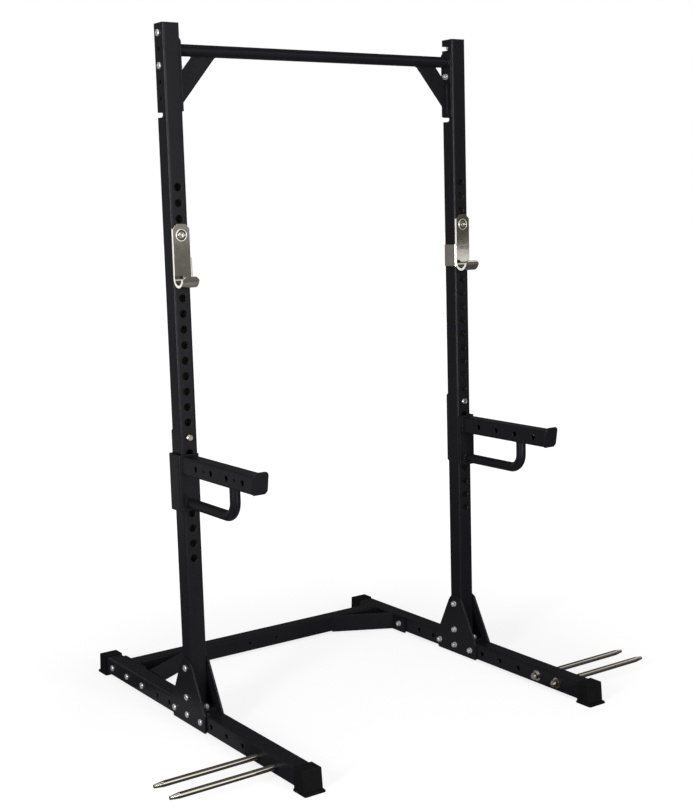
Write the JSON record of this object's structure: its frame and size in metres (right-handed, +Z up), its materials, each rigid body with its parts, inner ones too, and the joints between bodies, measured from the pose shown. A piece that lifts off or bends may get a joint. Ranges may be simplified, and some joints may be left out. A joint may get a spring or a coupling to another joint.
{
  "type": "squat rack",
  "caption": "Half rack with holed uprights on bolted base rails, pull-up bar, J-cups, spotter arms with handles and plate-storage rods.",
  "frame": {"origin": "on the floor, under the middle of the whole, which lies 24 mm behind the uprights' front faces", "axes": "+Z up, -Y to the front, where the bar rests in the J-cups, X across the rack from upright to upright"},
  "size_m": [1.928, 1.424, 2.28],
  "materials": {
    "black_powder_coat": "fine-textured satin black powder coat",
    "rubber_black": "matt black rubber",
    "plastic_black": "matt black plastic",
    "bright_nickel": "bright warm nickel plate",
    "bright_zinc": "bright zinc plate"
  },
  "bodies": {
    "frame": {"base_rail_left": "black_powder_coat", "base_rail_right": "black_powder_coat", "crossmember_bolts": "bright_zinc", "crossmember_end_plate_left": "black_powder_coat", "crossmember_end_plate_right": "black_powder_coat", "crossmember_nuts": "bright_zinc", "flat_washers": "bright_zinc", "foot_cap_front_left": "rubber_black", "foot_cap_front_right": "rubber_black", "foot_cap_rear_left": "rubber_black", "foot_cap_rear_right": "rubber_black", "foot_plate_bolts": "bright_zinc", "foot_plate_nuts": "bright_zinc", "gusset_bolts": "bright_zinc", "gusset_nuts": "bright_zinc", "gusset_plate_inner_left": "black_powder_coat", "gusset_plate_inner_right": "black_powder_coat", "gusset_plate_outer_left": "black_powder_coat", "gusset_plate_outer_right": "black_powder_coat", "hanger_bolts": "bright_zinc", "hanger_nuts": "bright_zinc", "pull_up_bar": "black_powder_coat", "pull_up_bolts": "bright_zinc", "pull_up_brace_left": "black_powder_coat", "pull_up_brace_right": "black_powder_coat", "pull_up_end_plate_left": "black_powder_coat", "pull_up_end_plate_right": "black_powder_coat", "pull_up_nuts": "bright_zinc", "rear_brace_bolts": "bright_zinc", "rear_brace_left": "black_powder_coat", "rear_brace_nuts": "bright_zinc", "rear_brace_right": "black_powder_coat", "rear_crossmember": "black_powder_coat", "rod_nuts": "bright_zinc", "rod_washers": "bright_zinc", "storage_rods_left": "bright_nickel", "storage_rods_right": "bright_nickel", "upright_foot_plate_left": "black_powder_coat", "upright_foot_plate_right": "black_powder_coat", "upright_left": "black_powder_coat", "upright_right": "black_powder_coat", "upright_top_cap_left": "plastic_black", "upright_top_cap_right": "plastic_black"},
    "j_cup_left_assembly": {"j_cup_left": "bright_nickel", "j_cup_pin_left": "bright_nickel"},
    "spotter_left": {"spotter_bracket_left": "black_powder_coat", "spotter_arm_left": "black_powder_coat", "spotter_end_plate_left": "black_powder_coat", "spotter_handle_left": "black_powder_coat", "spotter_liner_left": "plastic_black"},
    "lock_left": {"lock_pin_left": "bright_zinc"},
    "j_cup_right_assembly": {"j_cup_right": "bright_nickel", "j_cup_pin_right": "bright_nickel"},
    "spotter_right": {"spotter_bracket_right": "black_powder_coat", "spotter_arm_right": "black_powder_coat", "spotter_end_plate_right": "black_powder_coat", "spotter_handle_right": "black_powder_coat", "spotter_liner_right": "plastic_black"},
    "lock_right": {"lock_pin_right": "bright_zinc"}
  },
  "joints": [
    {"name": "j_cup_left_height", "type": "slide", "parent": "frame", "child": "j_cup_left_assembly", "axis": [0, 0, 1], "range_m": [-0.45, 0.15]},
    {"name": "spotter_left_height", "type": "slide", "parent": "frame", "child": "spotter_left", "axis": [0, 0, 1], "range_m": [-0.3, 0]},
    {"name": "lock_pin_left_pull", "type": "slide", "parent": "spotter_left", "child": "lock_left", "axis": [0, 1, 0], "range_m": [0, 0.08]},
    {"name": "j_cup_right_height", "type": "slide", "parent": "frame", "child": "j_cup_right_assembly", "axis": [0, 0, 1], "range_m": [-0.45, 0.15]},
    {"name": "spotter_right_height", "type": "slide", "parent": "frame", "child": "spotter_right", "axis": [0, 0, 1], "range_m": [-0.3, 0]},
    {"name": "lock_pin_right_pull", "type": "slide", "parent": "spotter_right", "child": "lock_right", "axis": [0, 1, 0], "range_m": [0, 0.08]}
  ]
}
